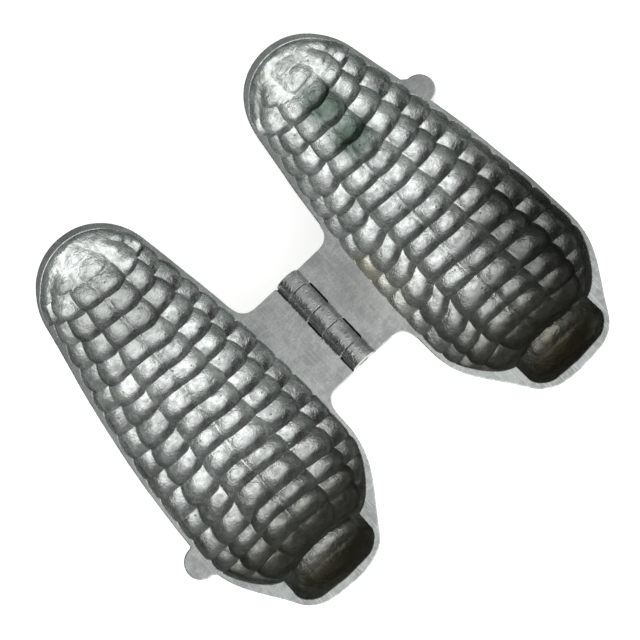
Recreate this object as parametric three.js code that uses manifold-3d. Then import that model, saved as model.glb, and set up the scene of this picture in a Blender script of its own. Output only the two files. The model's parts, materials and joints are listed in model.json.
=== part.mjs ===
import * as THREE from "three";
import { mergeVertices } from "three/addons/utils/BufferGeometryUtils.js";
import Module from "manifold-3d";

// A cast pewter ice cream mould for an ear of corn, lying open with both hollows up.
// Millimetres, +Z up. The hinge pin lies along Y, with the stems at -Y and the tips at +Y.
// Each half is drawn about the hinge axis, with its mating face at z = 0.

// Mating face of one half: the outline of an ear, from its stem end to its tip
const rimLength = 125;
const rimHalfWidth = 26.6;
const widestFromStemEnd = 31.3;
const shoulderHalfWidth = 18.5; // where the taper turns into the round tip
const shoulderFromTip = 17;
const stemCornerHeight = 5.7;
const flankHeading = 58; // degrees from +X at the stem corner
const taperHeading = 100; // degrees from +X at the shoulder
const earLean = 1.3; // degrees that each tip leans towards the hinge

// Shell
const bodyDepth = 26; // mating face to the lowest point of the back
const floorWall = 2; // under the deepest kernels
const rimWidth = 1.3; // beside the kernels that reach the mating face
const tipRimWidth = 2.15;
const stemRimWidth = 2.3;
const waistLength = 3.5; // of the draw-in of the back behind the neck
const waistFromNeck = 2; // towards the stem end

// Stem hollow
const stemLength = 12.6;
const stemHalfWidth = 13.2;
const stemDepth = 13.4;
const stemSideRim = 1.4;
const stemFloorWall = 2.4;
const stemCornerRadius = 3.8;
const stemEndSlope = 7.2; // length of the rounded end wall
const stemBandSwell = 0.7;

// Kernels
const kernelHeight = 1.5;
const kernelSquareness = 2.3;
const cutShare = 0.25; // of the outermost kernels, past the mating face
const columnCrease = 0.65; // share of a kernel's height that is lost between columns
const neckRowSag = 2.5; // how far a row's ends lie towards the stem from its middle, at the neck
const tipRowRise = 1.2; // how far they lie towards the tip, near the tip
const rowCount = 14;
const columnEdges = [0, 30, 64, 94, 121, 153, 180]; // degrees round the hollow from its +X side
const tipRows = [
  { length: 6.8, columns: 6 },
  { length: 5.6, columns: 4 },
  { length: 4.4, columns: 3 },
];
const neckHeading = 20; // degrees from +X where the ear swells out of the stem
const stemSteps = 10;
const stemStepGrowth = 1.6; // closer steps at the end wall
const stepsPerRow = 4;
const stepsAround = 24; // shared by 6, 4 and 3 columns
const backSteps = 20;
const backCurveSteps = 10;
const outlineSteps = 60;

// Hinge
const earFromHinge = 40.6;
const hingeOffset = -6.25; // middle of the barrel from the middle of the rim
const barrelRadius = 3.9;
const knuckleLengths = [5, 7.6, 5.8, 7.4, 5.4]; // from the tip end
const knuckleGap = 0.35;
const knuckleClearance = 0.45; // barrel to the other half's leaf
const knuckleChamfer = 0.35;
const leafThickness = 3;
const leafFillet = 4.8;
const matingGap = 0.3; // between the two rims when the mould is shut
const pinRadius = 1.5;
const pinClearance = 0.1;
const pinChamfer = 0.4;
const roundSteps = 32;

// Finger tabs
const tabHalfWidth = 4.7;
const tabReach = 5;
const tabThickness = 3;
const tabFillet = 2;
const leftTabY = -31.3;
const rightTabY = 23.2;

const overshoot = 2; // how far a cutter or a root runs past the face it meets

const stemCornerHalfWidth = stemHalfWidth + stemSideRim; // where the flank turns into the stem end
const stemEndY = -rimLength / 2;
const tipY = rimLength / 2;
const hollowTipY = tipY - tipRimWidth;
const hollowEndY = stemEndY + stemRimWidth;
const neckY = hollowEndY + stemLength;
const neckRimY = neckY - neckRowSag; // where the neck meets the mating face
const earHalfWidth = rimHalfWidth - rimWidth - kernelHeight;
const earDepth = bodyDepth - floorWall - kernelHeight;
const hingeZ = matingGap / 2;
const lean = THREE.MathUtils.degToRad(earLean);
const barrelLength = knuckleLengths.reduce((sum, length) => sum + length, 0);
const barrelTopY = hingeOffset + barrelLength / 2;

const wasm = await Module();
wasm.setup();

function solidOf(geometry) {
  const bare = geometry.clone();
  bare.deleteAttribute("normal");
  bare.deleteAttribute("uv");
  const merged = mergeVertices(bare, 1e-4);
  const mesh = new wasm.Mesh({
    numProp: 3,
    vertProperties: merged.attributes.position.array,
    triVerts: new Uint32Array(merged.index.array),
  });
  return new wasm.Manifold(mesh);
}

function geometryOf(solid) {
  const mesh = solid.getMesh();
  const geometry = new THREE.BufferGeometry();
  geometry.setAttribute("position", new THREE.BufferAttribute(mesh.vertProperties, mesh.numProp));
  geometry.setIndex(new THREE.BufferAttribute(mesh.triVerts, 1));
  const flat = geometry.toNonIndexed();
  flat.computeVertexNormals();
  return flat;
}

// One side of an outline through stations of x, y and heading, with near-circular bends
function smoothSide(stations) {
  const side = new THREE.CurvePath();
  for (let i = 1; i < stations.length; i++) {
    const from = stations[i - 1];
    const to = stations[i];
    const start = new THREE.Vector2(from.x, from.y);
    const end = new THREE.Vector2(to.x, to.y);
    const handle = 0.39 * start.distanceTo(end);
    const leaving = THREE.MathUtils.degToRad(from.heading);
    const arriving = THREE.MathUtils.degToRad(to.heading);
    const first = new THREE.Vector2(Math.cos(leaving), Math.sin(leaving)).multiplyScalar(handle).add(start);
    const second = new THREE.Vector2(Math.cos(arriving), Math.sin(arriving)).multiplyScalar(-handle).add(end);
    side.add(new THREE.CubicBezierCurve(start, first, second, end));
  }
  return side;
}

const rimSide = smoothSide([
  { x: 0, y: stemEndY, heading: 0 },
  { x: stemCornerHalfWidth, y: stemEndY + stemCornerHeight, heading: flankHeading },
  { x: rimHalfWidth, y: stemEndY + widestFromStemEnd, heading: 90 },
  { x: shoulderHalfWidth, y: tipY - shoulderFromTip, heading: taperHeading },
  { x: 0, y: tipY, heading: 180 },
]);

const earSide = smoothSide([
  { x: stemHalfWidth, y: neckRimY, heading: neckHeading },
  { x: earHalfWidth, y: stemEndY + widestFromStemEnd, heading: 90 },
  { x: shoulderHalfWidth - rimWidth - kernelHeight, y: tipY - shoulderFromTip, heading: taperHeading },
  { x: 0, y: hollowTipY, heading: 180 },
]);

const rimOutline = rimSide.getPoints(outlineSteps);
const earOutline = earSide.getPoints(outlineSteps);
const widestRim = Math.max(...rimOutline.map((point) => point.x));
const widestEar = Math.max(...earOutline.map((point) => point.x));

// x of one side of an outline at a height y
function sideAt(outline, y) {
  const next = Math.max(outline.findIndex((point) => point.y >= y), 1);
  const below = outline[next - 1];
  const above = outline[next];
  return THREE.MathUtils.mapLinear(y, below.y, above.y, below.x, above.x);
}

// One side of a leaned rim from the middle of its ear: -1 faces the hinge, 1 faces away
function leanedSide(facing) {
  const middle = new THREE.Vector2();
  return rimOutline.map(({ x, y }) => new THREE.Vector2(facing * x, y).rotateAround(middle, lean));
}

const hingeFlank = leanedSide(-1);
const outerFlank = leanedSide(1);

// Closed skin over rings that follow one another along Y, drawn to a point at each end
function skinOver(rings, firstPoint, lastPoint) {
  const count = rings[0].length;
  const points = [firstPoint, ...rings.flat(), lastPoint];
  const faces = [];
  const at = (ring, step) => 1 + ring * count + (step % count);
  for (let step = 0; step < count; step++) {
    faces.push(0, at(0, step + 1), at(0, step));
    for (let ring = 1; ring < rings.length; ring++) {
      faces.push(at(ring - 1, step), at(ring - 1, step + 1), at(ring, step));
      faces.push(at(ring - 1, step + 1), at(ring, step + 1), at(ring, step));
    }
    faces.push(points.length - 1, at(rings.length - 1, step), at(rings.length - 1, step + 1));
  }
  const geometry = new THREE.BufferGeometry().setFromPoints(points);
  geometry.setIndex(faces);
  return geometry;
}

const roundDepth = (halfWidth) => (halfWidth * bodyDepth) / widestRim;

// The back draws in behind the neck until it leaves the stem's floor wall
const waistY = neckY - waistFromNeck;
const waistDepth = roundDepth(sideAt(rimOutline, waistY)) - stemDepth - stemFloorWall;

// Outside of one half: half-ellipse sections under the rim outline, drawn in behind the neck
function backShell() {
  const stations = rimSide.getPoints(backCurveSteps);
  const rings = stations.slice(1, -1).map(({ x: halfWidth, y }) => {
    const waist = waistDepth * Math.exp(-(((y - waistY) / waistLength) ** 2));
    const depth = roundDepth(halfWidth) - waist;
    const ring = [];
    for (let step = 0; step <= backSteps; step++) {
      const angle = (Math.PI * step) / backSteps;
      ring.push(new THREE.Vector3(halfWidth * Math.cos(angle), y, -depth * Math.sin(angle)));
    }
    return ring;
  });
  return skinOver(rings, new THREE.Vector3(0, stemEndY, 0), new THREE.Vector3(0, tipY, 0));
}

const swell = (fraction) => 1 - Math.abs(2 * fraction - 1) ** kernelSquareness;

// Angle round the hollow at a step, and how far across its kernel that step lies
function placeAround(columns, step) {
  const position = (step * columns) / stepsAround;
  const column = Math.min(Math.floor(position), columns - 1);
  const share = position - column;
  const evenEdges = Array.from({ length: columns + 1 }, (_, edge) => (edge * 180) / columns);
  const edges = columns === columnEdges.length - 1 ? columnEdges : evenEdges;
  const angle = THREE.MathUtils.degToRad(THREE.MathUtils.lerp(edges[column], edges[column + 1], share));
  const from = column === 0 ? cutShare : 0;
  const to = column === columns - 1 ? 1 - cutShare : 1;
  return { angle, across: THREE.MathUtils.lerp(from, to, share) };
}

// A ring of the hollow, carried past the mating face so that it cuts clean
function closeRing(ring) {
  const first = ring[0];
  const last = ring[ring.length - 1];
  const lidStart = new THREE.Vector3(first.x, first.y, overshoot);
  const lidEnd = new THREE.Vector3(last.x, last.y, overshoot);
  return [lidStart, ...ring, lidEnd];
}

// Stem: a rounded end wall, then one rolled band up to the neck
function stemRing(along) {
  const intoCorner = Math.max(stemCornerRadius - along, 0);
  const corner = stemCornerRadius - Math.sqrt(stemCornerRadius ** 2 - intoCorner ** 2);
  const beforeBand = Math.max(stemEndSlope - along, 0) / stemEndSlope;
  const bandShare = Math.max(along - stemEndSlope, 0) / (stemLength - stemEndSlope);
  const band = stemBandSwell * Math.sin(Math.PI * bandShare);
  const halfWidth = stemHalfWidth - corner + band;
  const depth = stemDepth * Math.sqrt(1 - beforeBand ** 2) + band;
  const sag = neckRowSag * (along / stemLength) ** 2;
  const ring = [];
  for (let step = 0; step <= stepsAround; step++) {
    const angle = (Math.PI * step) / stepsAround;
    const y = hollowEndY + along - sag * Math.cos(angle) ** 2;
    ring.push(new THREE.Vector3(halfWidth * Math.cos(angle), y, -depth * Math.sin(angle)));
  }
  return closeRing(ring);
}

// Ear: part way up a row of kernels, whose ends sag near the neck and rise near the tip.
// A ring is as wide as the outline where it meets the mating face.
function earRing(rowY, columns, height) {
  const alongEar = (rowY - neckY) / (hollowTipY - neckY);
  const sag = THREE.MathUtils.lerp(neckRowSag, -tipRowRise, alongEar) * (1 - alongEar ** 4);
  const halfWidth = sideAt(earOutline, rowY - sag);
  const depth = (halfWidth * earDepth) / widestEar;
  const ring = [];
  for (let step = 0; step <= stepsAround; step++) {
    const { angle, across } = placeAround(columns, step);
    const y = rowY - sag * Math.cos(angle) ** 2;
    const bump = height * (1 - columnCrease * (1 - swell(across)));
    const x = (halfWidth + bump) * Math.cos(angle);
    ring.push(new THREE.Vector3(x, y, -(depth + bump) * Math.sin(angle)));
  }
  return closeRing(ring);
}

function stemRings() {
  const rings = [];
  for (let step = 1; step < stemSteps; step++) {
    rings.push(stemRing(stemLength * (step / stemSteps) ** stemStepGrowth));
  }
  return rings;
}

// Rows of kernels from the neck, with fewer columns round the tip
function earRings() {
  const tipLength = tipRows.reduce((sum, row) => sum + row.length, 0);
  const rowPitch = (hollowTipY - tipLength - neckY) / rowCount;
  const rows = Array(rowCount).fill({ length: rowPitch, columns: columnEdges.length - 1 });
  const rings = [];
  let rowY = neckY;
  for (const { length, columns } of [...rows, ...tipRows]) {
    for (let step = 0; step < stepsPerRow; step++) {
      const share = step / stepsPerRow;
      rings.push(earRing(rowY + length * share, columns, kernelHeight * swell(share)));
    }
    rowY += length;
  }
  return rings;
}

function hollow() {
  const rings = [...stemRings(), ...earRings()];
  return skinOver(rings, new THREE.Vector3(0, hollowEndY, 0), new THREE.Vector3(0, hollowTipY, 0));
}

// Round bar along the hinge axis with chamfered ends
function roundBar(radius, length, chamfer, middleY) {
  const half = length / 2;
  const profile = [
    new THREE.Vector2(0, -half),
    new THREE.Vector2(radius - chamfer, -half),
    new THREE.Vector2(radius, chamfer - half),
    new THREE.Vector2(radius, half - chamfer),
    new THREE.Vector2(radius - chamfer, half),
    new THREE.Vector2(0, half),
  ];
  return new THREE.LatheGeometry(profile, roundSteps).translate(0, middleY, hingeZ);
}

// The five knuckles from the tip end, with the half that carries each: 1 right, -1 left
function knuckles() {
  let top = barrelTopY;
  return knuckleLengths.map((length, index) => {
    const knuckle = { owner: index % 2 === 0 ? 1 : -1, top, bottom: top - length };
    top -= length;
    return knuckle;
  });
}

function plate(shape, thickness) {
  const settings = { depth: thickness, bevelEnabled: false, curveSegments: 8 };
  return new THREE.ExtrudeGeometry(shape, settings).translate(0, 0, -thickness);
}

// Hinge leaf: a toothed edge along the barrel, flared into the rim at both ends
function leaf(side) {
  const topY = barrelTopY;
  const bottomY = barrelTopY - barrelLength;
  const rimX = (y) => earFromHinge + sideAt(hingeFlank, y);
  const inX = rimX(topY) + overshoot;
  const shape = new THREE.Shape();
  const toothX = barrelRadius + knuckleClearance;
  const headFillet = Math.min(leafFillet, rimX(topY) - toothX);
  const footFillet = Math.min(leafFillet, rimX(bottomY) - toothX);
  const headY = topY + headFillet;
  shape.moveTo(side * inX, headY);
  shape.lineTo(side * rimX(headY), headY);
  shape.quadraticCurveTo(side * rimX(topY), topY, side * (rimX(topY) - headFillet), topY);
  for (const { owner, top, bottom } of knuckles()) {
    const edge = owner === side ? barrelRadius / 2 : toothX;
    const room = owner === side ? -knuckleGap / 2 : knuckleGap / 2;
    shape.lineTo(side * edge, Math.min(top + room, topY));
    shape.lineTo(side * edge, Math.max(bottom - room, bottomY));
  }
  shape.lineTo(side * (rimX(bottomY) - footFillet), bottomY);
  const footY = bottomY - footFillet;
  shape.quadraticCurveTo(side * rimX(bottomY), bottomY, side * rimX(footY), footY);
  shape.lineTo(side * inX, footY);
  return plate(shape, leafThickness);
}

// Finger tab: a round-ended lug on the outer side of the rim
function tab(side, y) {
  const rimX = earFromHinge + sideAt(outerFlank, y);
  const roundX = rimX + tabReach - tabHalfWidth;
  const shape = new THREE.Shape();
  const foot = tabHalfWidth + tabFillet;
  shape.moveTo(side * (rimX - overshoot), y - foot);
  shape.quadraticCurveTo(side * rimX, y - tabHalfWidth, side * roundX, y - tabHalfWidth);
  shape.absarc(side * roundX, y, tabHalfWidth, -Math.PI / 2, Math.PI / 2, side < 0);
  shape.quadraticCurveTo(side * rimX, y + tabHalfWidth, side * (rimX - overshoot), y + foot);
  return plate(shape, tabThickness);
}

// One casting: shell, leaf, tab and knuckles, less the pin's bore and the hollow of the ear
function castHalf(side, tabY) {
  const earX = side * earFromHinge;
  const setOut = (geometry) => geometry.rotateZ(side * lean).translate(earX, 0, 0);
  let casting = solidOf(setOut(backShell()));
  casting = casting.add(solidOf(leaf(side))).add(solidOf(tab(side, tabY)));
  for (const { owner, top, bottom } of knuckles()) {
    if (owner === side) {
      const length = top - bottom - knuckleGap;
      casting = casting.add(solidOf(roundBar(barrelRadius, length, knuckleChamfer, (top + bottom) / 2)));
    }
  }
  const bore = roundBar(pinRadius + pinClearance, barrelLength + 2 * overshoot, 0, hingeOffset);
  casting = casting.subtract(solidOf(bore)).subtract(solidOf(setOut(hollow())));
  return geometryOf(casting);
}

function hingePin() {
  return roundBar(pinRadius, barrelLength - knuckleGap, pinChamfer, hingeOffset);
}

function piece(name, geometry, color, roughness) {
  const material = new THREE.MeshStandardMaterial({ color, roughness, metalness: 1 });
  const mesh = new THREE.Mesh(geometry, material);
  mesh.name = name;
  return mesh;
}

// The origin is under the middle of the open mould, on the surface it lies on
const outermost = Math.max(...outerFlank.map((point) => point.x));
const reach = (tabY) => earFromHinge + Math.max(outermost, sideAt(outerFlank, tabY) + tabReach);
const mould = new THREE.Group();
mould.position.set((reach(leftTabY) - reach(rightTabY)) / 2, 0, bodyDepth);
mould.add(piece("left_half", castHalf(-1, leftTabY), 0x8e8c88, 0.45));
mould.add(piece("right_half", castHalf(1, rightTabY), 0x92908b, 0.45));
mould.add(piece("hinge_pin", hingePin(), 0x6f6c68, 0.4));

export default mould;
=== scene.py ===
import json
import math

import bpy
import numpy as np
from mathutils import Matrix, Vector, noise


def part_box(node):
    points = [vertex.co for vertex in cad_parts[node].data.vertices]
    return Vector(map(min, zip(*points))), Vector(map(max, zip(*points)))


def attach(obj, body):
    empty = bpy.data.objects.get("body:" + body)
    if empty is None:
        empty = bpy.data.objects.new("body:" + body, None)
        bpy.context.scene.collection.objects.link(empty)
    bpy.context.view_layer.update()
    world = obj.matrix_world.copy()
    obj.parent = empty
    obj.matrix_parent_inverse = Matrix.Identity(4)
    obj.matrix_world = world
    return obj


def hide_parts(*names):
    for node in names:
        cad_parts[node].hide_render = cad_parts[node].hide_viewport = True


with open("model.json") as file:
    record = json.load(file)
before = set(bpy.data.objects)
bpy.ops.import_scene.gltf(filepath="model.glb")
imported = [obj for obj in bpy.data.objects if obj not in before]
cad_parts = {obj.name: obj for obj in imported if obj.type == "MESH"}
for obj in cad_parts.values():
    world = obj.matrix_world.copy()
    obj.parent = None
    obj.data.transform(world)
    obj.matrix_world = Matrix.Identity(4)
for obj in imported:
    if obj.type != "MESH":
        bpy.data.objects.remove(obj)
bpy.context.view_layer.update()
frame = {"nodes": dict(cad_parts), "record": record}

# Both halves are drawn in millimetres about the hinge axis, with the mating faces at z = 0,
# stems at -y and tips at +y, and are put into the frame in metres by place().
mm = 0.001
perMetre = 1000  # millimetres
edgeTurns = np.radians([0, 30, 60, 90])  # steps round a rounded edge
tiny = 1e-9  # keeps a division by no length finite
pinLow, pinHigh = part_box("hinge_pin")
matingZ = frame["record"]["mounts"][0]["pos_m"][2]
origin = np.array([(pinLow.x + pinHigh.x) / 2, 0, matingZ])
print("frame: hinge axis at x", round(origin[0] / mm, 3), "mm")


def place(points):
    return np.asarray(points, float) * mm + origin


def newPiece(name, points, faces):
    mesh = bpy.data.meshes.new(name)
    mesh.from_pydata(place(points).tolist(), [], faces)
    mesh.update()
    piece = bpy.data.objects.new(name, mesh)
    bpy.context.scene.collection.objects.link(piece)
    return piece


def settle(piece):  # keeps what the modifiers made
    graph = bpy.context.evaluated_depsgraph_get()
    made = bpy.data.meshes.new_from_object(piece.evaluated_get(graph))
    piece.modifiers.clear()
    old = piece.data
    piece.data = made
    bpy.data.meshes.remove(old)


def combine(piece, other, operation):
    step = piece.modifiers.new("combine", "BOOLEAN")
    step.object = other
    step.operation = operation
    step.solver = "MANIFOLD"
    settle(piece)
    spent = other.data
    bpy.data.objects.remove(other)
    bpy.data.meshes.remove(spent)


# Outline of the mating face, about the middle of an ear

rim = {
    "length": 124.97,
    "halfWidth": 26.6,
    "widestFromStemEnd": 31.3,
    "shoulderHalfWidth": 18.5,
    "shoulderFromTip": 17.0,
    "stemCornerHalfWidth": 14.6,
    "stemCornerHeight": 5.7,
    "flankHeading": 58,  # degrees from +x
    "taperHeading": 100,
    "depth": 26.0,
    "width": 1.3,
    "tipWidth": 2.15,
    "stemWidth": 2.3,
    "edgeRadius": 0.35,
    "wander": 0.16,  # how far the cast edge strays
    "wanderLength": 11.0,
    "earFromHinge": 40.6,
    "lean": 1.3,  # degrees, tips towards the hinge
}
stemEndY = -rim["length"] / 2
tipY = rim["length"] / 2
hollowEndY = stemEndY + rim["stemWidth"]
hollowTipY = tipY - rim["tipWidth"]
bends = {
    "reach": 0.39,  # of its chord to its control points, which makes a bend near-circular
    "steps": 60,
}


def bendThrough(stations):  # stations of x, y and heading, joined by near-circular bends
    def toward(heading):
        return np.array([math.cos(math.radians(heading)), math.sin(math.radians(heading))])

    points = []
    for (x0, y0, h0), (x1, y1, h1) in zip(stations, stations[1:]):
        start, end = np.array([x0, y0]), np.array([x1, y1])
        reach = bends["reach"] * np.linalg.norm(end - start)
        first = start + reach * toward(h0)
        second = end - reach * toward(h1)
        t = np.linspace(0, 1, bends["steps"] + 1)[:, None]
        curve = (1 - t) ** 3 * start + 3 * (1 - t) ** 2 * t * first + 3 * (1 - t) * t**2 * second + t**3 * end
        points.append(curve if len(points) == 0 else curve[1:])
    return np.vstack(points)


def widthAt(outline, y):
    return np.interp(y, outline[:, 1], outline[:, 0])


def setOut(points, side):  # from the middle of an ear to the hinge axis, leaned
    points = np.array(points, float)
    turn = side * math.radians(rim["lean"])
    x = points[:, 0] * math.cos(turn) - points[:, 1] * math.sin(turn) + side * rim["earFromHinge"]
    y = points[:, 0] * math.sin(turn) + points[:, 1] * math.cos(turn)
    return np.column_stack([x, y, points[:, 2:]])


rimOutline = bendThrough([
    (0, stemEndY, 0),
    (rim["stemCornerHalfWidth"], stemEndY + rim["stemCornerHeight"], rim["flankHeading"]),
    (rim["halfWidth"], stemEndY + rim["widestFromStemEnd"], 90),
    (rim["shoulderHalfWidth"], tipY - rim["shoulderFromTip"], rim["taperHeading"]),
    (0, tipY, 180),
])
hingeFlank = setOut(rimOutline * [-1, 1], 1)
outerFlank = setOut(rimOutline, 1)


# Closed bowl from a grid of half rings that run along y between two poles on the rim.
# Its rim edge is rounded inwards (lip -1), or flared outwards for a cutter (lip 1),
# square to the run of the edge over some points to either side (reach).
def bowl(name, side, grid, poles, edgeRadius, lip, lidHeight, reach):
    stations, around = grid.shape[:2]
    points = [(0, poles[0], -edgeRadius), *grid.reshape(-1, 3), (0, poles[1], -edgeRadius)]
    last = len(points) - 1

    def at(station, step):
        return 1 + station * around + step

    faces = []
    for step in range(around - 1):
        faces.append((0, at(0, step + 1), at(0, step)))
        for station in range(stations - 1):
            here = at(station, step)
            ahead = at(station + 1, step)
            faces.append((here, here + 1, ahead + 1, ahead))
        faces.append((last, at(stations - 1, step), at(stations - 1, step + 1)))
    outbound = [at(station, 0) for station in range(stations)]
    homeward = [at(station, around - 1) for station in reversed(range(stations))]
    loop = [0, *outbound, last, *homeward]
    base = np.array([points[k] for k in loop])
    along = np.roll(base, -reach, 0) - np.roll(base, reach, 0)
    outward = np.stack([along[:, 1], -along[:, 0], np.zeros(len(loop))], 1)
    outward /= np.linalg.norm(outward, axis=1)[:, None]
    levels = []
    for turn in edgeTurns[1:]:
        levels.append((lip * edgeRadius * (1 - math.cos(turn)), edgeRadius * math.sin(turn)))
    if lidHeight > 0:
        levels.append((lip * edgeRadius, edgeRadius + lidHeight))
    below = loop
    for out, up in levels:
        ring = base + outward * out + np.array([0, 0, up])
        above = list(range(len(points), len(points) + len(loop)))
        points.extend(ring)
        for k in range(len(loop)):
            n = (k + 1) % len(loop)
            faces.append((below[k], below[n], above[n], above[k]))
        below = above
    faces.append(tuple(below))
    return newPiece(name, setOut(points, side), faces)


# Hollow of a half: a stem cup, then rows of kernels up to the tip

stem = {
    "length": 12.6,
    "halfWidth": 13.2,
    "depth": 13.4,
    "floorWall": 2.4,
    "cornerRadius": 5.5,
    "endSlope": 7.2,
    "endBow": 1.4,  # how far the end stands back at its sides
    "bandSwell": 0.7,
    "steps": 48,
    "stepGrowth": 1.8,  # closer steps at the end wall
}
kernels = {
    "height": 3.1,  # room kept for kernels between the ear and its rim
    "rowSwell": 0.17,  # depth of a kernel, as a share of its length
    "columnSwells": np.array([0.32, 0.21, 0.14, 0.14, 0.21, 0.32]),  # and of its width
    "spread": 0.14,  # how much one kernel's depth differs from the next
    "deepest": 0.42,  # how far up its row a kernel is deepest
    "neckDeepest": 0.22,  # the same in the first row
    "neckRise": 0.2,  # share of the first row over which the columns come up
    "softness": 0.03,
    "rowEdges": [
        -47.6, -41.2, -35.65, -30.35, -23.25, -16.9, -9.55, -3.5,
        3.25, 10.25, 16.6, 22.65, 29.3, 36.5, 43.5, 49.9,
    ],
    "columnEdges": [0, 30, 64, 94, 121, 153, 180],  # degrees from the +x side
    "cutShare": 0.25,  # of an outer column's kernel, lost at the mating face
    "crownGain": 1.5,  # deeper columns in the last row
    "crownLoss": 0.6,  # and what they lose of it
    "crownLossFrom": 0.4,  # from this share of the row
    "tipFrom": (42, 51),  # y over which the tip's own outline takes over
    "tipInset": 0.6,  # from the rim's inner edge, where the tip has no flank kernels
    "tipRamp": (2.4, 0.76),  # how deep the floor starts at the tip, and its fall from there
    "tipColumns": 0.65,  # what the columns keep of their depth where the tip starts
    "tipColumnsEnd": 0.35,  # share of the tip at which they are gone
    "tipReaches": (0.75, 1.3),  # of a round kernel's half length, towards the stem and the tip
    "tipRoundness": 1.7,
    "blend": 5,  # higher for a sharper bend where one floor meets the other
    "leastWidth": 1e-6,
    "flankShare": 0.95,  # of the room for kernels, that a flank may fill
    "flankReach": (14, 12),  # from the neck and the tip, where that room grows
    "draft": 0.05,  # how much the sides lean out, so that a casting draws
    "draftRounding": 0.5,
    "turn": -3,  # degrees round the ear, away from the hinge in both halves
    "offset": -0.3,  # towards the stem in the right half and the tip in the left
    "offsetReach": (8, 8),
    "rowStray": 0.35,
    "columnStray": 1.6,  # degrees
    "stepsPerRow": 16,
    "tipSteps": 64,
    "stepsAround": 144,
    "crowding": 0.55,  # of steps beside the ridges
    "floorWall": 2.0,
    "neckHeading": 20,
    "neckSag": 2.5,
    "neckSagReach": 16,
    "lumpSize": 3.2,
    "lumpHeight": 0.2,
    "grainSize": 1.1,
    "grainHeight": 0.08,
    "roughShift": 60,  # so that the halves have other lumps
    "roughFrom": 1.0,  # depth at which lumps and grain are whole
    "flare": 0.3,
    "lidHeight": 2,  # of the cutter, above the mating face
    "seed": 11,
}
# Round kernels that close the tip: angle and y where they are deepest, half of their size in each, height
tipKernels = [
    (82, 51.9, 23, 3.5, 1.35),
    (86, 56.4, 28, 2.0, 0.65),
    (122, 52.8, 21, 3.3, 1.3),
    (47, 51.4, 16, 3.3, 1.2),
    (157, 51.6, 16, 3.0, 1.0),
    (21, 52.4, 14, 3.0, 0.8),
]
# How far the edges between rows stand towards the tip, round the hollow, at heights up the ear
slants = {
    "angles": [0, 45, 80, 106, 117, 125, 150, 180],
    -47.6: [-2.5, -1.25, -0.1, -0.2, -0.5, -0.8, -1.9, -2.5],
    -35.0: [-2.4, -1.8, 0, 0.2, -0.2, -1.6, -2.4, -2.6],
    -20.0: [-1.8, -0.8, 0, 0.9, 0.6, -1.7, -2.7, -3.2],
    6.0: [0, 0.3, 0, 0.6, 0.3, -0.9, -1.6, -1.8],
    33.0: [1.8, 1.5, 0, 0.8, 0.9, 0.3, 0.6, 0.7],
    43.5: [1.8, 1.5, 0, 0.8, 0.9, 0.6, 0.8, 0.9],
    49.9: [-1.0, -1.0, 0, 0.9, 1.3, 1.3, 1.3, 1.3],
    hollowTipY: [0, 0, 0, 0, 0, 0, 0, 0],
}
neckY = hollowEndY + stem["length"]
neckRimY = neckY - kernels["neckSag"]
earHalfWidth = rim["halfWidth"] - rim["width"] - kernels["height"]
earDepth = rim["depth"] - kernels["floorWall"] - kernels["height"]
shoulderX = rim["shoulderHalfWidth"] - rim["width"]
shoulderY = tipY - rim["shoulderFromTip"]
earOutline = bendThrough([
    (stem["halfWidth"], neckRimY, kernels["neckHeading"]),
    (earHalfWidth, stemEndY + rim["widestFromStemEnd"], 90),
    (shoulderX - kernels["height"], shoulderY, rim["taperHeading"]),
    (0, hollowTipY, 180),
])
tipOutline = bendThrough([
    (shoulderX - kernels["tipInset"], shoulderY, rim["taperHeading"]),
    (0, hollowTipY, 180),
])


def dish(share, deepest=0.5):  # from 0 at both ridges, which are rounded a little, to 1 where it is deepest
    half = np.where(share < deepest, deepest, 1 - deepest)
    fromRidge = 1 - np.abs(share - deepest) / half
    soft = kernels["softness"]
    fromRidge = (np.hypot(fromRidge, soft) - soft) / (math.hypot(1, soft) - soft)
    return 1 - (1 - fromRidge) ** 2


def crowd(share):  # closer steps beside the ridges
    return share - kernels["crowding"] * np.sin(2 * np.pi * share) / (2 * np.pi)


def smoothStep(low, high, value):
    t = np.clip((value - low) / (high - low), 0, 1)
    return t * t * (3 - 2 * t)


def awayFromEnds(y, reaches):  # 0 at the neck and at the tip, 1 once that far from both
    return smoothStep(neckY, neckY + reaches[0], y) * smoothStep(hollowTipY, hollowTipY - reaches[1], y)


def around(edges):  # angle, kernel column and place across it, for each step round the hollow
    columns = len(edges) - 1
    position = np.arange(kernels["stepsAround"] + 1) * columns / kernels["stepsAround"]
    column = np.minimum(position.astype(int), columns - 1)
    share = crowd(position - column)
    edges = np.radians(np.array(edges, float))
    angle = edges[column] + (edges[column + 1] - edges[column]) * share
    low = np.where(column == 0, kernels["cutShare"], 0)
    high = np.where(column == columns - 1, 1 - kernels["cutShare"], 1)
    return angle, column, low + (high - low) * share


def slant(y, angle):
    heights = [key for key in slants if key != "angles"]
    atHeights = [np.interp(np.degrees(angle), slants["angles"], slants[height]) for height in heights]
    return np.array([np.interp(y, heights, column) for column in np.array(atHeights).T])


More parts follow.
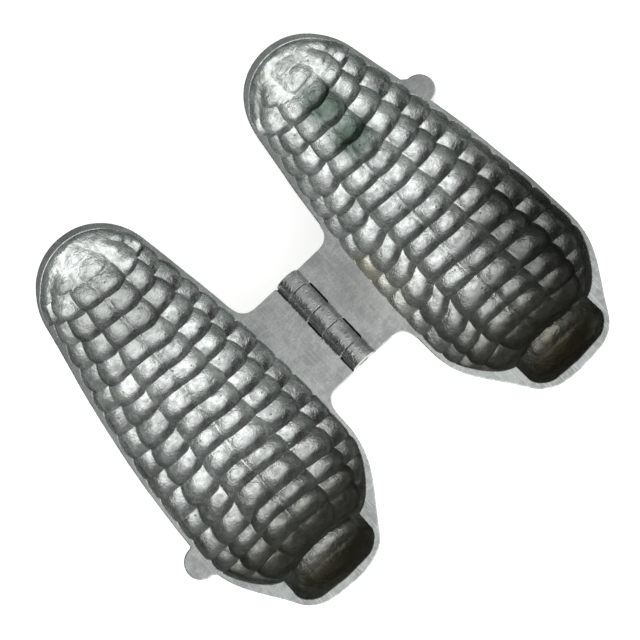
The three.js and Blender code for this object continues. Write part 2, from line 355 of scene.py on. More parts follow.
def stemRings():
    along = stem["length"] * (np.arange(1, stem["steps"]) / stem["steps"]) ** stem["stepGrowth"]
    intoCorner = np.maximum(stem["cornerRadius"] - along, 0)
    corner = stem["cornerRadius"] - np.sqrt(stem["cornerRadius"] ** 2 - intoCorner**2)
    beforeBand = np.maximum(stem["endSlope"] - along, 0) / stem["endSlope"]
    bandShare = np.maximum(along - stem["endSlope"], 0) / (stem["length"] - stem["endSlope"])
    band = stem["bandSwell"] * np.sin(np.pi * bandShare)
    halfWidth = stem["halfWidth"] - corner
    depth = stem["depth"] * np.sqrt(1 - beforeBand**2) + band
    angle, _, _ = around(kernels["columnEdges"])
    x = halfWidth[:, None] * np.cos(angle)
    z = -depth[:, None] * np.sin(angle)
    share = along[:, None] / stem["length"]
    bow = stem["endBow"] * (1 - share) ** 2 * (x / stem["halfWidth"]) ** 2
    return np.stack([x, hollowEndY + along[:, None] + share**2 * slant(neckY, angle) + bow, z], 2)


# Each kernel lies between four strayed corners: two edges of its row and two of its column.
def earRings(side):
    draw = np.random.default_rng(kernels["seed"])
    edges = np.array(kernels["rowEdges"] + [hollowTipY])
    tip = len(edges) - 2
    columns = np.array(kernels["columnEdges"], float)
    middles = np.radians((columns[1:] + columns[:-1]) / 2)
    columns += side * kernels["turn"] * np.sin(np.radians(columns))
    swells = kernels["columnSwells"] * np.radians(np.diff(columns))
    strays = draw.uniform(-1, 1, (len(edges), len(columns))) * kernels["columnStray"]
    strays[:, [0, -1]] = 0
    lifts = draw.uniform(-1, 1, (len(edges), len(middles))) * kernels["rowStray"]
    lifts[[0, -1]] = 0

    def edgeY(row, angle):
        return edges[row] + slant(edges[row], angle) + np.interp(angle, middles, lifts[row])

    rings = []
    for row in range(len(edges) - 1):
        lowAngle, column, across = around(columns + strays[row])
        highAngle, _, _ = around(columns + strays[row + 1])
        spreads = 1 + kernels["spread"] * draw.uniform(-1, 1, len(columns))
        lowY = edgeY(row, lowAngle)
        highY = edgeY(row + 1, highAngle)
        rowHeight = kernels["rowSwell"] * (highY - lowY)
        deepest = kernels["deepest"] if row > 0 else kernels["neckDeepest"]
        steps = kernels["stepsPerRow"] if row < tip else kernels["tipSteps"]
        for step in range(steps):
            share = step / steps
            share = crowd(share) if row < tip else 1 - (1 - share) ** 2  # closer steps at the tip
            angle = lowAngle + (highAngle - lowAngle) * share
            y = lowY + (highY - lowY) * share
            y = y + side * kernels["offset"] * awayFromEnds(y, kernels["offsetReach"])
            sag = kernels["neckSag"] * smoothStep(neckY + kernels["neckSagReach"], neckY, y)
            atRim = y - sag * np.sin(angle) ** 2
            halfWidth = widthAt(earOutline, atRim)
            halfWidth += (widthAt(tipOutline, atRim) - halfWidth) * smoothStep(*kernels["tipFrom"], y)
            depth = np.maximum(halfWidth, kernels["leastWidth"]) * earDepth / earHalfWidth
            ramp = kernels["tipRamp"][0] + kernels["tipRamp"][1] * (hollowTipY - y)
            blend = kernels["blend"]
            depth = (depth**-blend + ramp**-blend) ** (-1 / blend)  # about the lesser of the two
            columnHeight = swells[column] * (halfWidth + depth) / 2
            if row == 0:
                columnHeight = columnHeight * smoothStep(0, kernels["neckRise"], share)
            if row == tip - 1:
                lost = kernels["crownLoss"] * smoothStep(kernels["crownLossFrom"], 1, share)
                columnHeight = columnHeight * (kernels["crownGain"] - lost)
            bump = spreads[column] * (rowHeight * dish(share, deepest) + columnHeight * dish(across))
            if row == tip:
                fading = kernels["tipColumns"] * columnHeight * dish(across)
                fading *= smoothStep(kernels["tipColumnsEnd"], 0, share)
                bump = np.maximum(roundKernels(np.degrees(angle) - side * kernels["turn"], y), fading)
            x = (halfWidth + bump) * np.cos(angle)
            z = -(depth + bump) * np.sin(angle)
            flank = kernels["flankShare"] * kernels["height"] * awayFromEnds(y, kernels["flankReach"])
            limit = np.minimum(halfWidth + flank, widthAt(rimOutline, y) - rim["width"])
            limit += kernels["draft"] * z
            over = np.abs(x) - limit
            rounding = kernels["draftRounding"]
            x = np.sign(x) * (limit + (over - np.hypot(over, rounding) + rounding) / 2)
            rings.append(np.stack([x, y, z], 1))
    return np.array(rings)


def roundKernels(angle, y):
    bump = np.zeros(len(angle))
    for middleAngle, middleY, halfAngle, halfLength, height in tipKernels:
        reach = halfLength * np.where(y < middleY, *kernels["tipReaches"])  # steeper towards the stem
        away = ((angle - middleAngle) / halfAngle) ** 2 + ((y - middleY) / reach) ** 2
        bump = np.maximum(bump, height * np.maximum(1 - away, 0) ** kernels["tipRoundness"])
    return bump


def roughen(grid, side):  # lumps and grain that the casting kept, along each point's normal
    normal = np.cross(np.gradient(grid, axis=0), np.gradient(grid, axis=1))
    normal /= np.linalg.norm(normal, axis=2)[:, :, None] + tiny
    apart = np.array([side * kernels["roughShift"], 0, 0])
    lift = np.array([
        kernels["lumpHeight"] * noise.noise(Vector(p / kernels["lumpSize"]))
        + kernels["grainHeight"] * noise.noise(Vector(p / kernels["grainSize"]))
        for p in grid.reshape(-1, 3) + apart
    ]).reshape(grid.shape[:2])
    depth = np.clip(-grid[:, :, 2] / kernels["roughFrom"], 0, 1)  # none at the rim
    return grid + normal * (lift * depth)[:, :, None]


def hollowSolid(name, side):
    grid = roughen(np.concatenate([stemRings(), earRings(side)]), side)
    flare = kernels["flare"]
    keep = (rim["depth"] - flare) / rim["depth"]
    grid[:, :, 2] = np.minimum(grid[:, :, 2], 0) * keep - flare
    lid, reach = kernels["lidHeight"], kernels["stepsPerRow"]
    return bowl(name, side, grid, (hollowEndY, hollowTipY), flare, lip=1, lidHeight=lid, reach=reach)


# Back of a half, drawn in behind the neck

back = {
    "stations": 180,
    "around": 80,
    "waistFromNeck": 2.0,
    "waistLength": 3.5,
    "strayLength": 30,  # of the rim's wander, across the ear and downwards
    "strayShift": 9,  # so that the halves stray each in its own way
    "strayInward": 0.6,  # keeps the wander inside the outline
}


def backSolid(name, side):
    y = stemEndY + rim["length"] * (1 - np.cos(np.linspace(0, np.pi, back["stations"] + 2)[1:-1])) / 2
    halfWidth = widthAt(rimOutline, y)
    perWidth = rim["depth"] / rim["halfWidth"]
    waistY = neckY - back["waistFromNeck"]
    waistDepth = widthAt(rimOutline, waistY) * perWidth - stem["depth"] - stem["floorWall"]
    waist = waistDepth * np.exp(-(((y - waistY) / back["waistLength"]) ** 2))
    angle = np.linspace(0, np.pi, back["around"] + 1)
    keep = (rim["depth"] - rim["edgeRadius"]) / rim["depth"]
    x = halfWidth[:, None] * np.cos(angle)
    z = -(halfWidth * perWidth - waist)[:, None] * np.sin(angle) * keep - rim["edgeRadius"]
    grid = np.stack([x, np.repeat(y[:, None], len(angle), 1), z], 2)
    lengths = np.array([back["strayLength"], rim["wanderLength"], back["strayLength"]])
    apart = np.array([side * back["strayShift"], 0, 0])
    stray = np.array([noise.noise(Vector(p)) for p in grid.reshape(-1, 3) / lengths + apart])
    stray = stray.reshape(grid.shape[:2]) + back["strayInward"]
    inside = np.clip(halfWidth / rim["stemCornerHalfWidth"], 0, 1)[:, None] * np.abs(np.cos(angle))
    grid[:, :, 0] -= rim["wander"] * stray * inside * np.sign(np.cos(angle))
    return bowl(name, side, grid, (stemEndY, tipY), rim["edgeRadius"], lip=-1, lidHeight=0, reach=1)


# Hinge leaves, finger tabs and knuckles

hinge = {
    "offset": -6.25,
    "z": 0.15,
    "barrelRadius": 3.65,
    "knuckleLengths": [5.0, 7.6, 5.8, 7.4, 5.4],  # from the tip end, right half first
    "knuckleGap": 0.25,
    "notchGap": 0.3,
    "notchRadius": 0.9,
    "knuckleClearance": 0.5,
    "knuckleEdge": 0.12,
    "knuckleFillet": 0.8,
    "knuckleFilletPoints": 8,
    "knuckleRoot": 1,  # into the leaf
    "knuckleEnd": 0.6,  # radians short of a whole turn, inside the leaf
    "leafThickness": 3.0,
    "leafFillet": 4.8,
    "leafFilletSteps": 12,
    "notchSteps": 6,
    "edgeRadius": 0.12,
    "boreRadius": 1.6,
    "boreOverrun": 2,  # past either end of the barrel
    "boreEdge": 0.1,
    "root": 3.0,
    "roundSteps": 64,
    "mitreLeast": 0.4,  # limits how far an edge is drawn in at a sharp corner
}
barrelLength = sum(hinge["knuckleLengths"])
barrelTop = hinge["offset"] + barrelLength / 2
barrelBottom = barrelTop - barrelLength


def knuckles():
    top = barrelTop
    for index, length in enumerate(hinge["knuckleLengths"]):
        yield (1 if index % 2 == 0 else -1), top, top - length
        top -= length


def curveTo(start, control, end, steps):
    t = np.linspace(0, 1, steps + 1)[1:, None]
    start, control, end = np.array(start, float), np.array(control, float), np.array(end, float)
    return ((1 - t) ** 2 * start + 2 * (1 - t) * t * control + t**2 * end).tolist()


# Plate from a flat outline, mirrored for side -1, with the edges of both faces rounded over.
# It stands up along z, or along y when its outline holds x and z.
def plate(name, side, outline, low, high, edgeRadius, alongY=False):
    outline = np.array(outline, float) * [side, 1]
    following = np.roll(outline, -1, 0)
    area = np.sum(outline[:, 0] * following[:, 1] - following[:, 0] * outline[:, 1]) / 2
    if (area < 0) != alongY:
        outline = outline[::-1]
    ahead = np.roll(outline, -1, 0) - outline
    ahead /= np.linalg.norm(ahead, axis=1)[:, None]
    behind = np.roll(ahead, 1, 0)
    outward = np.stack([ahead[:, 1] + behind[:, 1], -ahead[:, 0] - behind[:, 0]], 1)
    outward /= np.maximum(np.sum(outward**2, 1)[:, None] / 2, hinge["mitreLeast"])
    outward *= -1 if alongY else 1
    levels = []
    for turn in edgeTurns:
        levels.append((edgeRadius * (1 - math.sin(turn)), low + edgeRadius * (1 - math.cos(turn))))
    levels += [(inward, low + high - level) for inward, level in reversed(levels)]
    count = len(outline)
    points, faces = [], []
    for index, (inward, level) in enumerate(levels):
        ring = outline - outward * inward
        points.extend([(u, level, v) if alongY else (u, v, level) for u, v in ring])
        if index > 0:
            below = (index - 1) * count
            for k in range(count):
                n = (k + 1) % count
                faces.append((below + k, below + n, below + count + n, below + count + k))
    faces.append(tuple(reversed(range(count))))
    faces.append(tuple(range(len(points) - count, len(points))))
    return newPiece(name, points, faces)


def leaf(name, side):
    def rimX(y):
        return float(widthAt(hingeFlank, y))

    fillet, steps, notchSteps = hinge["leafFillet"], hinge["leafFilletSteps"], hinge["notchSteps"]
    topX, bottomX = rimX(barrelTop), rimX(barrelBottom)
    inX = topX + hinge["root"]
    headY, footY = barrelTop + fillet, barrelBottom - fillet
    outline = [[inX, headY], [rimX(headY), headY]]
    outline += curveTo(outline[-1], [topX, barrelTop], [topX - fillet, barrelTop], steps)
    deep, shallow = hinge["barrelRadius"] + hinge["knuckleClearance"], hinge["barrelRadius"] / 2
    corner = hinge["notchRadius"]
    for index, (owner, top, bottom) in enumerate(knuckles()):
        room = hinge["notchGap"] / 2
        if owner == side:
            outline.append([shallow, min(top - room, barrelTop)])
            outline.append([shallow, max(bottom + room, barrelBottom)])
        else:
            if top == barrelTop:
                outline.append([deep, top])
            else:
                outline.append([deep - corner, top + room])
                end = [deep, top + room - corner]
                outline += curveTo(outline[-1], [deep, top + room], end, notchSteps)
            if index == len(hinge["knuckleLengths"]) - 1:
                outline.append([deep, bottom])
            else:
                outline.append([deep, bottom - room + corner])
                end = [deep - corner, bottom - room]
                outline += curveTo(outline[-1], [deep, bottom - room], end, notchSteps)
    outline.append([bottomX - fillet, barrelBottom])
    outline += curveTo(outline[-1], [bottomX, barrelBottom], [rimX(footY), footY], steps)
    outline.append([inX, footY])
    return plate(name, side, outline, -hinge["leafThickness"], 0, hinge["edgeRadius"])


def knuckle(name, side, top, bottom):  # barrel section with a small fillet down onto its leaf
    radius, fillet, z = hinge["barrelRadius"], hinge["knuckleFillet"], hinge["z"]
    filletX = math.sqrt((radius + fillet) ** 2 - (fillet - z) ** 2)
    meet = math.atan2(fillet - z, filletX)
    root = hinge["knuckleRoot"]
    outline = [[filletX + root, -root], [filletX + root, 0]]
    for turn in np.linspace(-np.pi / 2, meet - np.pi, hinge["knuckleFilletPoints"]):
        outline.append([filletX + fillet * math.cos(turn), fillet + fillet * math.sin(turn)])
    for turn in np.linspace(meet, 2 * np.pi - hinge["knuckleEnd"], hinge["roundSteps"])[1:]:
        outline.append([radius * math.cos(turn), z + radius * math.sin(turn)])
    gap = hinge["knuckleGap"] / 2
    return plate(name, side, outline, bottom + gap, top - gap, hinge["knuckleEdge"], alongY=True)


noses = {
    "reach": 0.58,
    "root": 0.5,
    "heights": (-1.0, -1.7, -2.4),  # of its top, its tip and its underside
    "endGap": 0.2,  # from the ends of the barrel
    "edgeRadius": 0.05,
}


def nose(name, side, top, bottom):  # under the other half's knuckle, so that its notch looks dark
    edge = hinge["barrelRadius"] + hinge["knuckleClearance"]
    rootX, tipX = edge + noses["root"], edge - noses["reach"]
    over, tip, under = noses["heights"]
    outline = [[rootX, over], [edge, over], [tipX, tip], [edge, under], [rootX, under]]
    low = max(bottom, barrelBottom + noses["endGap"])
    high = min(top, barrelTop - noses["endGap"])
    return plate(name, side, outline, low, high, noses["edgeRadius"], alongY=True)


def bore(name):
    radius = hinge["boreRadius"]
    turns = np.linspace(0, 2 * np.pi, hinge["roundSteps"], endpoint=False)
    outline = [[radius * math.cos(turn), hinge["z"] + radius * math.sin(turn)] for turn in turns]
    low, high = barrelBottom - hinge["boreOverrun"], barrelTop + hinge["boreOverrun"]
    return plate(name, 1, outline, low, high, hinge["boreEdge"], alongY=True)


tabs = {
    "halfWidth": 4.7,
    "reach": 5.0,
    "thickness": 3.0,
    "fillet": 2.0,
    "filletSteps": 10,
    "roundPoints": 25,
    "edgeRadius": 0.45,
    "root": 2.0,
    "leftY": -31.3,
    "rightY": 23.2,
}


def tab(name, side, y):
    halfWidth, steps = tabs["halfWidth"], tabs["filletSteps"]
    rimX = float(widthAt(outerFlank, y))
    roundX = rimX + tabs["reach"] - halfWidth
    foot = halfWidth + tabs["fillet"]
    outline = [[rimX - tabs["root"], y - foot]]
    outline += curveTo(outline[-1], [rimX, y - halfWidth], [roundX, y - halfWidth], steps)
    for turn in np.linspace(-np.pi / 2, np.pi / 2, tabs["roundPoints"])[1:]:
        outline.append([roundX + halfWidth * math.cos(turn), y + halfWidth * math.sin(turn)])
    outline += curveTo(outline[-1], [rimX, y + halfWidth], [rimX - tabs["root"], y + foot], steps)
    return plate(name, side, outline, -tabs["thickness"], 0, tabs["edgeRadius"])


sharpFrom = math.radians(40)  # a sharper edge keeps its crease


def castHalf(name, side, tabY):
    half = backSolid(name, side)
    combine(half, leaf(name + "Leaf", side), "UNION")
    combine(half, tab(name + "Tab", side, tabY), "UNION")
    for owner, top, bottom in knuckles():
        shape = knuckle if owner == side else nose
        combine(half, shape(name + "Knuckle", side, top, bottom), "UNION")
    combine(half, bore(name + "Bore"), "DIFFERENCE")
    combine(half, hollowSolid(name + "Hollow", side), "DIFFERENCE")
    half.data.shade_smooth()
    half.data.set_sharp_from_angle(angle=sharpFrom)
    weigh = half.modifiers.new("weigh", "WEIGHTED_NORMAL")  # keeps the large flats flat
    weigh.keep_sharp = True
    settle(half)
    print(name, len(half.data.polygons), "faces")
    return half


leftHalf = castHalf("leftHalf", -1, tabs["leftY"])
rightHalf = castHalf("rightHalf", 1, tabs["rightY"])


# Materials

def linear(hexColour):
    channels = [int(hexColour[k : k + 2], 16) / 255 for k in (1, 3, 5)]
    return [c / 12.92 if c <= 0.04045 else ((c + 0.055) / 1.055) ** 2.4 for c in channels] + [1]


def add(tree, kind, inputs=(), **settings):  # inputs are values, nodes or their sockets
    node = tree.nodes.new(kind)
    for name, value in settings.items():
        setattr(node, name, value)
    for socket, value in dict(inputs).items():
        if isinstance(value, bpy.types.Node):
            value = next(output for output in value.outputs if output.enabled)
        if isinstance(value, bpy.types.NodeSocket):
            tree.links.new(value, node.inputs[socket])
        else:
            node.inputs[socket].default_value = value
    return node


def newMaterial(name):
    material = bpy.data.materials.new(name)
    material.use_nodes = True
    material.node_tree.nodes.clear()
    return material, material.node_tree


pewter = {
    "clean": "#c8ccca",
    "oxide": "#979b99",
    "wornRange": (0.8, 1.15),  # of two noises together, from oxide to clean
    "roughness": (0.19, 0.34),
    "roughRange": (0.3, 0.7),  # of the noise, from rough to smooth
    "cloudSize": 8.0,  # mm
    "blotchSize": 1.8,
    "grainSize": 0.6,
    "flatRange": (0.97, 0.99),  # how far up a normal points where a flat starts
    "flatEvenness": 0.5,
    "flatTone": 0.55,  # between oxide and clean
    "darkerTowardsStem": (-35, -55),  # along the ear, from that tone to plain oxide
    "pitSpacing": 2.4,
    "pitRadius": (0.15, 0.32),  # of its floor and of its edge
    "pitless": 0.68,  # share of places without a pit
    "pitStain": 0.45,
    "flatPits": 0.15,
    "scratchWidth": 0.5,  # drawn coarser than real ones, which would not show
    "scratchTurns": (7, -16),  # degrees
    "scratchStretch": 0.04,
    "scratchRange": (0.56, 0.68),
    "scratchShine": 0.7,
    "scratchDepth": 0.2,
    "bumpStrengths": (0.55, 0.08),  # on curves and on flats
    "bumpHeight": 0.3,
    # brown stain, which towards the stem and on the low rows is also painted shade
    "stainAndShade": "#57513a",
    "stainShadeRoughness": 0.45,
    "stainShadeHeights": (-20, -52),  # from clean to stained and painted shade, along the ear
    "stainShadeDepths": (2, 9),  # under the mating face
    "stainShadeMost": 0.94,
    "thinAtNeck": (-50, 1, 4),  # the neck, and how far from it the stain and painted shade thin and are whole
    "thinAtNeckLeft": 0.5,
    "patchRange": (0.3, 0.65),
    "patchLeast": 0.85,
    "hollowRange": (-0.05, 0.05),  # how far up a normal points, outside and inside
    "tintCore": 0.3,  # share of its radius over which a tint is whole
    "tints": [
        {"colour": "#24402f", "at": (42.5, 43, -12), "radius": 10, "strength": 0.88},  # painted green reflection, right tip
        {"colour": "#24402f", "at": (43, 31, -17), "radius": 10, "strength": 0.88},
        {"colour": "#bdb48a", "at": (17, -3, -9), "radius": 8, "strength": 0.7},  # yellow residue with painted light, by the hinge
        {"colour": "#3c3e3a", "at": (62, -22, -14), "radius": 30, "strength": 0.72},  # painted shade, right flank
        {"colour": "#7c7f7d", "at": (-41, 38, -12), "radius": 20, "strength": 0.75},  # painted shade, left tip
        {"colour": "#868988", "at": (12, -6, 0), "radius": 11, "strength": 0.35},  # painted shade, right leaf
        {"colour": "#57513a", "at": (42, -50, -10), "radius": 14, "strength": 0.55},  # brown stain with painted shade, right stem
        {"colour": "#dedcd2", "at": (22, -10, -9), "radius": 17, "strength": 0.6},  # painted light, by the hinge
    ],
    # painted shade in the gaps beside the knuckles
    "gapShade": "#1b1a17",
    "gapShadeReach": (3.35, 3.6, 4.2, 4.5),  # from the hinge axis: starts, whole, still whole, gone
    "gapShadeDepths": (0.15, 0.5),
}


# Tin alloy cast in a metal die and dulled by use: satin grey with a mottled, pitted skin, fine scratches
# on the flats, a brown stain towards the stem that is also painted shade there, patches of painted shade
# and painted light, a painted green reflection, a little yellow, and painted shade beside the knuckles
def castPewter():
    material, tree = newMaterial("castPewterWithPaintedLight")
    coordinates = add(tree, "ShaderNodeTexCoord").outputs
    spot = coordinates["Object"]
    axes = add(tree, "ShaderNodeSeparateXYZ", {0: spot}).outputs
    cloud, blotch, grain = [
        add(tree, "ShaderNodeTexNoise", {"Vector": spot, "Scale": perMetre / pewter[size], "Detail": detail})
        for size, detail in (("cloudSize", 5), ("blotchSize", 4), ("grainSize", 3))
    ]
    worn = add(tree, "ShaderNodeMath", {0: cloud, 1: blotch}, operation="ADD")
    worn = add(tree, "ShaderNodeMapRange", {
        "Value": worn,
        "From Min": pewter["wornRange"][0],
        "From Max": pewter["wornRange"][1],
    })
    # Flats face straight up in the open mould: more even, with fewer pits, and scratched
    upward = add(tree, "ShaderNodeSeparateXYZ", {0: coordinates["Normal"]}).outputs["Z"]
    flat = add(tree, "ShaderNodeMapRange", {
        "Value": upward,
        "From Min": pewter["flatRange"][0],
        "From Max": pewter["flatRange"][1],
    })
    even = add(tree, "ShaderNodeMapRange", {"Value": flat, "To Max": pewter["flatEvenness"]})
    darkerTowardsStem = add(tree, "ShaderNodeMapRange", {  # flats darker towards the stem end
        "Value": axes["Y"],
        "From Min": pewter["darkerTowardsStem"][0] * mm,
        "From Max": pewter["darkerTowardsStem"][1] * mm,
        "To Min": pewter["flatTone"],
        "To Max": 0.0,
    })
    worn = add(tree, "ShaderNodeMix", {"Factor": even, "A": worn, "B": darkerTowardsStem})
    shade = add(tree, "ShaderNodeMix", {
        "Factor": worn,
        "A": linear(pewter["oxide"]),
        "B": linear(pewter["clean"]),
    }, data_type="RGBA")
    cells = add(tree, "ShaderNodeTexVoronoi", {
        "Vector": spot,
        "Scale": perMetre / pewter["pitSpacing"],
    }).outputs
    chosen = add(tree, "ShaderNodeSeparateXYZ", {0: cells["Color"]}).outputs["X"]
    chosen = add(tree, "ShaderNodeMath", {0: chosen, 1: pewter["pitless"]}, operation="GREATER_THAN")
    pits = add(tree, "ShaderNodeMapRange", {
        "Value": cells["Distance"],
        "From Min": pewter["pitRadius"][0] / pewter["pitSpacing"],
        "From Max": pewter["pitRadius"][1] / pewter["pitSpacing"],
        "To Min": chosen,
        "To Max": 0.0,
    })
    fewer = add(tree, "ShaderNodeMapRange", {"Value": flat, "To Min": 1.0, "To Max": pewter["flatPits"]})
    pits = add(tree, "ShaderNodeMath", {0: pits, 1: fewer}, operation="MULTIPLY")
    pitted = add(tree, "ShaderNodeMath", {0: pits, 1: pewter["pitStain"]}, operation="MULTIPLY")
    scratches = 0.0
    for turn in pewter["scratchTurns"]:
        along = add(tree, "ShaderNodeMapping", {
            "Vector": spot,
            "Rotation": (0, 0, math.radians(turn)),
            "Scale": (1, pewter["scratchStretch"], 1),
        })
        lines = add(tree, "ShaderNodeTexNoise", {
            "Vector": along,
            "Scale": perMetre / pewter["scratchWidth"],
            "Detail": 2,
        })
        lines = add(tree, "ShaderNodeMapRange", {
            "Value": lines,
            "From Min": pewter["scratchRange"][0],
            "From Max": pewter["scratchRange"][1],
        })
        scratches = add(tree, "ShaderNodeMath", {0: scratches, 1: lines}, operation="MAXIMUM")
    scratches = add(tree, "ShaderNodeMath", {0: scratches, 1: flat}, operation="MULTIPLY")
    fresh = add(tree, "ShaderNodeMath", {0: scratches, 1: pewter["scratchShine"]}, operation="MULTIPLY")

    low = add(tree, "ShaderNodeMapRange", {
        "Value": axes["Y"],
        "From Min": pewter["stainShadeHeights"][0] * mm,
        "From Max": pewter["stainShadeHeights"][1] * mm,
    })
    under = add(tree, "ShaderNodeMapRange", {
        "Value": axes["Z"],
        "From Min": matingZ - pewter["stainShadeDepths"][0] * mm,
        "From Max": matingZ - pewter["stainShadeDepths"][1] * mm,
        "To Max": pewter["stainShadeMost"],
    })
    fromNeck = add(tree, "ShaderNodeMath", {0: axes["Y"], 1: pewter["thinAtNeck"][0] * mm}, operation="SUBTRACT")
    fromNeck = add(tree, "ShaderNodeMath", {0: fromNeck}, operation="ABSOLUTE")
    thinAtNeck = add(tree, "ShaderNodeMapRange", {
        "Value": fromNeck,
        "From Min": pewter["thinAtNeck"][1] * mm,
        "From Max": pewter["thinAtNeck"][2] * mm,
        "To Min": pewter["thinAtNeckLeft"],
    })
    patchy = add(tree, "ShaderNodeMapRange", {
        "Value": cloud,
        "From Min": pewter["patchRange"][0],
        "From Max": pewter["patchRange"][1],
        "To Min": pewter["patchLeast"],
    })
    hollow = add(tree, "ShaderNodeMapRange", {  # keeps stain, painted shade, painted light and tints off the outside
        "Value": upward,
        "From Min": pewter["hollowRange"][0],
        "From Max": pewter["hollowRange"][1],
    })
    patchy = add(tree, "ShaderNodeMath", {0: patchy, 1: hollow}, operation="MULTIPLY")
    # Brown stain towards the stem, which there and on the low rows is also painted shade
    stainedAndShaded = low
    for share in (under, thinAtNeck, patchy):
        stainedAndShaded = add(tree, "ShaderNodeMath", {0: stainedAndShaded, 1: share}, operation="MULTIPLY")
    coats = [(pitted, pewter["stainAndShade"]), (fresh, pewter["clean"]), (stainedAndShaded, pewter["stainAndShade"])]
    for tint in pewter["tints"]:
        middle = place([tint["at"]])[0].tolist()
        away = add(tree, "ShaderNodeVectorMath", {0: spot, 1: middle}, operation="DISTANCE")
        near = add(tree, "ShaderNodeMapRange", {
            "Value": away,
            "From Min": tint["radius"] * mm,
            "From Max": pewter["tintCore"] * tint["radius"] * mm,
            "To Max": tint["strength"],
        }, interpolation_type="SMOOTHSTEP")
        near = add(tree, "ShaderNodeMath", {0: near, 1: patchy}, operation="MULTIPLY")
        coats.append((near, tint["colour"]))

    # Painted shade in the gaps beside the knuckles
    fromPin = add(tree, "ShaderNodeMath", {0: axes["X"], 1: float(origin[0])}, operation="SUBTRACT")
    fromPin = add(tree, "ShaderNodeMath", {0: fromPin}, operation="ABSOLUTE")
    starts, whole, stillWhole, gone = [reach * mm for reach in pewter["gapShadeReach"]]
    gapShade = add(tree, "ShaderNodeMapRange", {"Value": fromPin, "From Min": starts, "From Max": whole})
    ending = add(tree, "ShaderNodeMapRange", {"Value": fromPin, "From Min": gone, "From Max": stillWhole})
    sunk = add(tree, "ShaderNodeMapRange", {
        "Value": axes["Z"],
        "From Min": matingZ - pewter["gapShadeDepths"][0] * mm,
        "From Max": matingZ - pewter["gapShadeDepths"][1] * mm,
    })
    for share in (ending, sunk):
        gapShade = add(tree, "ShaderNodeMath", {0: gapShade, 1: share}, operation="MULTIPLY")
    coats.append((gapShade, pewter["gapShade"]))
    for share, colour in coats:
        coat = {"Factor": share, "A": shade, "B": linear(colour)}
        shade = add(tree, "ShaderNodeMix", coat, data_type="RGBA")

    rough = add(tree, "ShaderNodeMapRange", {
        "Value": blotch,
        "From Min": pewter["roughRange"][0],
        "From Max": pewter["roughRange"][1],
        "To Min": pewter["roughness"][1],
        "To Max": pewter["roughness"][0],
    })
    rough = add(tree, "ShaderNodeMix", {"Factor": stainedAndShaded, "A": rough, "B": pewter["stainShadeRoughness"]})
    height = add(tree, "ShaderNodeMath", {0: grain, 1: blotch}, operation="ADD")
    scored = add(tree, "ShaderNodeMath", {0: scratches, 1: pewter["scratchDepth"]}, operation="MULTIPLY")
    for lower in (pits, scored):
        height = add(tree, "ShaderNodeMath", {0: height, 1: lower}, operation="SUBTRACT")
    strength = add(tree, "ShaderNodeMapRange", {
        "Value": flat,
        "To Min": pewter["bumpStrengths"][0],
        "To Max": pewter["bumpStrengths"][1],
    })
    bump = add(tree, "ShaderNodeBump", {
        "Height": height,
        "Strength": strength,
        "Distance": pewter["bumpHeight"] * mm,
    })
    shader = add(tree, "ShaderNodeBsdfPrincipled", {
        "Base Color": shade,
        "Metallic": 1.0,
        "Roughness": rough,
        "Normal": bump,
    })
    add(tree, "ShaderNodeOutputMaterial", {"Surface": shader})
    return material


steel = {
    "colour": "#7d7b77",
    "roughness": (0.3, 0.5),
    "grainSize": 2 / 3,  # mm
}


# Steel wire drawn through a die and left bare: darker and duller than the pewter, with a fine even grain
def drawnSteel():
    material, tree = newMaterial("drawnSteelPin")
    spot = add(tree, "ShaderNodeTexCoord").outputs["Object"]
    grain = add(tree, "ShaderNodeTexNoise", {
        "Vector": spot,
        "Scale": perMetre / steel["grainSize"],
        "Detail": 3,
    })
    rough = add(tree, "ShaderNodeMapRange", {
        "Value": grain,
        "To Min": steel["roughness"][0],
        "To Max": steel["roughness"][1],
    })
    shader = add(tree, "ShaderNodeBsdfPrincipled", {
        "Base Color": linear(steel["colour"]),
        "Metallic": 1.0,
        "Roughness": rough,
    })
    add(tree, "ShaderNodeOutputMaterial", {"Surface": shader})
    return material


pewterSkin = castPewter()
for half, body, node in ((leftHalf, "left", "left_half"), (rightHalf, "right", "right_half")):
    half.data.materials.clear()
    half.data.materials.append(pewterSkin)
    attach(half, body)
    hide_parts(node)
pinPiece = frame["nodes"]["hinge_pin"]
pinPiece.data.materials.clear()
pinPiece.data.materials.append(drawnSteel())
print("materials on")

# Stage

studio = {
    "floor": "#f4f4f2",
    "floorGlow": 0.62,
    "floorRoughness": 0.9,
    "floorSize": 40.0,  # metres
    "lightFrom": (0.0, -0.75, 0.66),
    "dim": (0.04, 0.45),  # walls at -x and at +x
    "dimUpTo": -0.3,  # how far across the wall at -x reaches
    "bright": 1.85,
    "fade": (0.31, 0.96),  # cosines from the middle of the light at which it starts and is full
    "keyDistance": 0.6,
    "keyAim": (0, 0, 0.02),
    "keySize": 0.5,
    "keyPower": 0.2,
}
lightFrom = Vector(studio["lightFrom"]).normalized()


def whiteFloor():  # seen white all round the mould, with the shadow kept
    half = studio["floorSize"] / 2
    mesh = bpy.data.meshes.new("floor")
    corners = [(-half, -half, 0), (half, -half, 0), (half, half, 0), (-half, half, 0)]
    mesh.from_pydata(corners, [], [(0, 1, 2, 3)])
    floor = bpy.data.objects.new("floor", mesh)
    bpy.context.scene.collection.objects.link(floor)
    material, tree = newMaterial("whitePaperFloor")
    path = add(tree, "ShaderNodeLightPath").outputs
    seen = add(tree, "ShaderNodeMath", {0: path["Is Camera Ray"], 1: path["Is Glossy Ray"]}, operation="ADD")
    seen = add(tree, "ShaderNodeMath", {0: seen, 1: path["Is Transmission Ray"]}, operation="ADD")
    glow = add(tree, "ShaderNodeMath", {0: seen, 1: studio["floorGlow"]}, operation="MULTIPLY")
    shader = add(tree, "ShaderNodeBsdfPrincipled", {
        "Base Color": linear(studio["floor"]),
        "Roughness": studio["floorRoughness"],
        "Emission Color": linear("#ffffff"),
        "Emission Strength": glow,
    })
    add(tree, "ShaderNodeOutputMaterial", {"Surface": shader})
    mesh.materials.append(material)


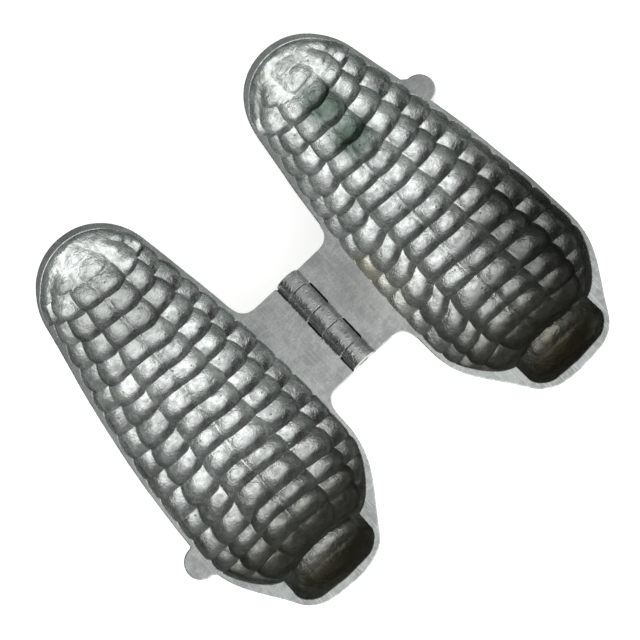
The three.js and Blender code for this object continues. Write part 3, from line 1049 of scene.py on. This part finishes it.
def softbox(name, at, aim, size, power):
    lamp = bpy.data.lights.new(name, "AREA")
    lamp.size = size
    lamp.energy = power
    holder = bpy.data.objects.new(name, lamp)
    holder.location = at
    holder.rotation_mode = "QUATERNION"
    holder.rotation_quaternion = (Vector(aim) - Vector(at)).to_track_quat("-Z", "Y")
    bpy.context.scene.collection.objects.link(holder)


def studioWorld():  # one broad soft light overhead towards the stems, dim walls elsewhere
    world = bpy.data.worlds.new("studio")
    bpy.context.scene.world = world
    world.use_nodes = True
    tree = world.node_tree
    tree.nodes.clear()
    aim = add(tree, "ShaderNodeTexCoord").outputs["Generated"]
    across = add(tree, "ShaderNodeSeparateXYZ", {0: aim}).outputs["X"]
    facing = add(tree, "ShaderNodeVectorMath", {0: aim, 1: lightFrom}, operation="DOT_PRODUCT")
    walls = add(tree, "ShaderNodeMapRange", {
        "Value": across,
        "From Min": studio["dimUpTo"],
        "To Min": studio["dim"][0],
        "To Max": studio["dim"][1],
    })
    level = add(tree, "ShaderNodeMapRange", {
        "Value": facing,
        "From Min": studio["fade"][0],
        "From Max": studio["fade"][1],
        "To Min": walls,
        "To Max": studio["bright"],
    })
    sky = add(tree, "ShaderNodeBackground", {"Color": linear("#ffffff"), "Strength": level})
    add(tree, "ShaderNodeOutputWorld", {"Surface": sky})


whiteFloor()
studioWorld()
keyAt = lightFrom * studio["keyDistance"]
softbox("keyLight", keyAt, studio["keyAim"], studio["keySize"], studio["keyPower"])

# Camera: above the open mould, a little towards the stems, turned so that the ears run diagonally

view = {
    "at": (-0.00783, -0.05768, 0.32822),
    "right": (0.73234, -0.67438, -0.0943),
    "up": (0.68026, 0.71841, 0.14537),
    "lens": 63.6,
    "sensor": 36,
    "clipStart": 0.01,
}
lens = bpy.data.cameras.new("camera")
lens.lens = view["lens"]
lens.sensor_width = view["sensor"]
lens.clip_start = view["clipStart"]
camera = bpy.data.objects.new("camera", lens)
right = Vector(view["right"]).normalized()
up = (Vector(view["up"]) - Vector(view["up"]).project(right)).normalized()
facing = Matrix((right, up, right.cross(up))).transposed()
camera.matrix_world = Matrix.Translation(view["at"]) @ facing.to_4x4()
bpy.context.scene.collection.objects.link(camera)
bpy.context.scene.camera = camera
bpy.context.scene.view_settings.view_transform = "Standard"
print("stage and camera set")

bpy.context.view_layer.update()
